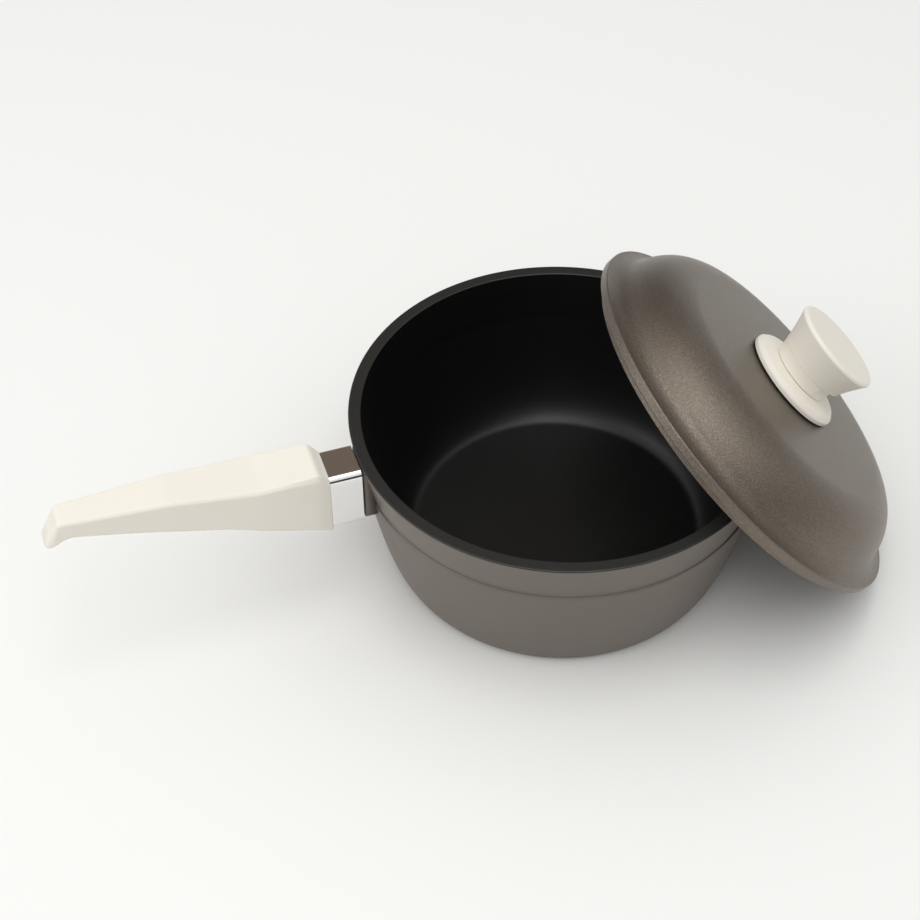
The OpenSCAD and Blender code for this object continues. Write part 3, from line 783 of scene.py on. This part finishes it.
def dark_card(name, towards, half, tones):
    """Dark card that only reflections show: a square facing the pan from the given direction, so that
    polished and glossy faces have something dark to reflect."""
    distance = 1.3
    towards = Vector(towards).normalized()
    turn = (-towards).to_track_quat("Z", "Y").to_matrix()
    square = ((-1, -1), (1, -1), (1, 1), (-1, 1))
    corners = [turn @ Vector((x, y, 0)) * half + towards * distance for x, y in square]
    mesh = bpy.data.meshes.new(name)
    mesh.from_pydata([tuple(c) for c in corners], [], [(0, 1, 2, 3)])
    card = bpy.data.objects.new(name, mesh)
    bpy.context.scene.collection.objects.link(card)
    cloth = Finish(name, Roughness=1.0, Specular_IOR_Level=0.0)
    cloth.feed("Base Color", cloth.blend(cloth.noise(2.0), *tones))
    dress(card, cloth.material)
    card.visible_camera = False
    card.visible_diffuse = False
    card.visible_shadow = False


class SAUCEPAN_OT_studio(bpy.types.Operator):
    """Make the floor, the even light, the lamps and the camera"""

    bl_idname = "saucepan.studio"
    bl_label = "Studio"

    def execute(self, context):
        s = context.scene.saucepan_studio
        half, floor_z = 3, -0.0002
        side = np.linspace(-half, half, 3)
        x, y = np.meshgrid(side, side)
        mesh = bpy.data.meshes.new("floor")
        points = np.column_stack([x.ravel(), y.ravel(), np.full(x.size, floor_z)])
        corner = np.array([0, 1, 3, 4])
        quads = np.column_stack([corner, corner + 1, corner + 4, corner + 3])
        mesh.from_pydata(points.tolist(), [], quads.tolist())
        floor = bpy.data.objects.new("floor", mesh)
        context.scene.collection.objects.link(floor)
        paper = Finish("studio_paper", Roughness=0.9, Specular_IOR_Level=0.1)
        paper.feed("Base Color", paper.blend(paper.noise(3.0), shade(s.floor, 0.995), shade(s.floor, 1.0)))
        dress(floor, paper.material)

        world = bpy.data.worlds.new("studio")
        context.scene.world = world
        world.use_nodes = True
        nodes, links = world.node_tree.nodes, world.node_tree.links
        sky = nodes["Background"]
        sky.inputs[0].default_value = (1.0, 1.0, 0.995, 1)
        split = nodes.new("ShaderNodeSeparateXYZ")
        links.new(nodes.new("ShaderNodeTexCoord").outputs["Generated"], split.inputs[0])
        rise = nodes.new("ShaderNodeMapRange")
        rise.interpolation_type = "SMOOTHSTEP"
        low, high, horizon_share = 0.1, 0.8, 0.22
        for i, value in enumerate((low, high, horizon_share * s.sky_strength, s.sky_strength), 1):
            rise.inputs[i].default_value = value
        links.new(split.outputs["Z"], rise.inputs[0])
        links.new(rise.outputs[0], sky.inputs[1])
        wall = nodes.new("ShaderNodeBackground")
        wall.inputs[0].default_value = (0.905, 0.905, 0.89, 1)
        pick = nodes.new("ShaderNodeMixShader")
        links.new(nodes.new("ShaderNodeLightPath").outputs["Is Camera Ray"], pick.inputs[0])
        links.new(sky.outputs[0], pick.inputs[1])
        links.new(wall.outputs[0], pick.inputs[2])
        links.new(pick.outputs[0], nodes["World Output"].inputs["Surface"])

        middle = (0, 0, 0.05)
        area_lamp("key", (-0.12, -0.4, 1.5), middle, (0.5, 1.3), 6.3, (1.0, 0.995, 0.985))
        area_lamp("side", (-1.6, 0.1, 0.8), middle, (1.0, 1.0), 6.0)

        tones = ((0.17, 0.13, 0.1, 1), (0.22, 0.175, 0.14, 1))
        dark = ((0.02, 0.016, 0.013, 1), (0.04, 0.032, 0.026, 1))
        dark_card("back_card", (0.22, 0.65, 0.73), 0.62, tones)
        dark_card("front_card", (0.4, -0.9, 0.16), 0.5, dark)

        camera = bpy.data.cameras.new("camera")
        camera.lens = 69.65
        camera.sensor_width = 36.0
        camera.clip_start, camera.clip_end = 0.01, 20.0
        made = bpy.data.objects.new("camera", camera)
        made.location = (-0.2214, -0.5168, 0.6427)
        aim = Vector((-0.0289, 0.0582, 0.0)) - made.location
        made.rotation_euler = aim.to_track_quat("-Z", "Y").to_euler()
        context.scene.collection.objects.link(made)
        context.scene.camera = made
        context.scene.view_settings.view_transform = "Standard"
        return {"FINISHED"}


class SAUCEPAN_PT_panel(bpy.types.Panel):
    """Buttons for each part of the saucepan, and its sizes and colours"""

    bl_idname = "SAUCEPAN_PT_panel"
    bl_label = "Saucepan"
    bl_space_type = "VIEW_3D"
    bl_region_type = "UI"
    bl_category = "Saucepan"

    def draw(self, context):
        for operator in OPERATORS:
            self.layout.operator(operator.bl_idname)
        for name in GROUPS:
            group = getattr(context.scene, name)
            box = self.layout.box()
            for key in group.__annotations__:
                box.prop(group, key)


GROUPS = {
    "saucepan_pan": SaucepanPan,
    "saucepan_handle": SaucepanHandle,
    "saucepan_lid": SaucepanLid,
    "saucepan_studio": SaucepanStudio,
}
OPERATORS = (SAUCEPAN_OT_pan, SAUCEPAN_OT_handle, SAUCEPAN_OT_lid, SAUCEPAN_OT_knob, SAUCEPAN_OT_studio)


def register():
    for cls in (*GROUPS.values(), *OPERATORS, SAUCEPAN_PT_panel):
        bpy.utils.register_class(cls)
    for name, cls in GROUPS.items():
        setattr(bpy.types.Scene, name, PointerProperty(type=cls))


def unregister():
    for name in GROUPS:
        delattr(bpy.types.Scene, name)
    for cls in reversed((*GROUPS.values(), *OPERATORS, SAUCEPAN_PT_panel)):
        bpy.utils.unregister_class(cls)


def main():
    register()
    bpy.ops.saucepan.pan()
    bpy.ops.saucepan.handle()
    bpy.ops.saucepan.lid()
    bpy.ops.saucepan.knob()
    bpy.ops.saucepan.studio()


if __name__ == "__main__":
    main()
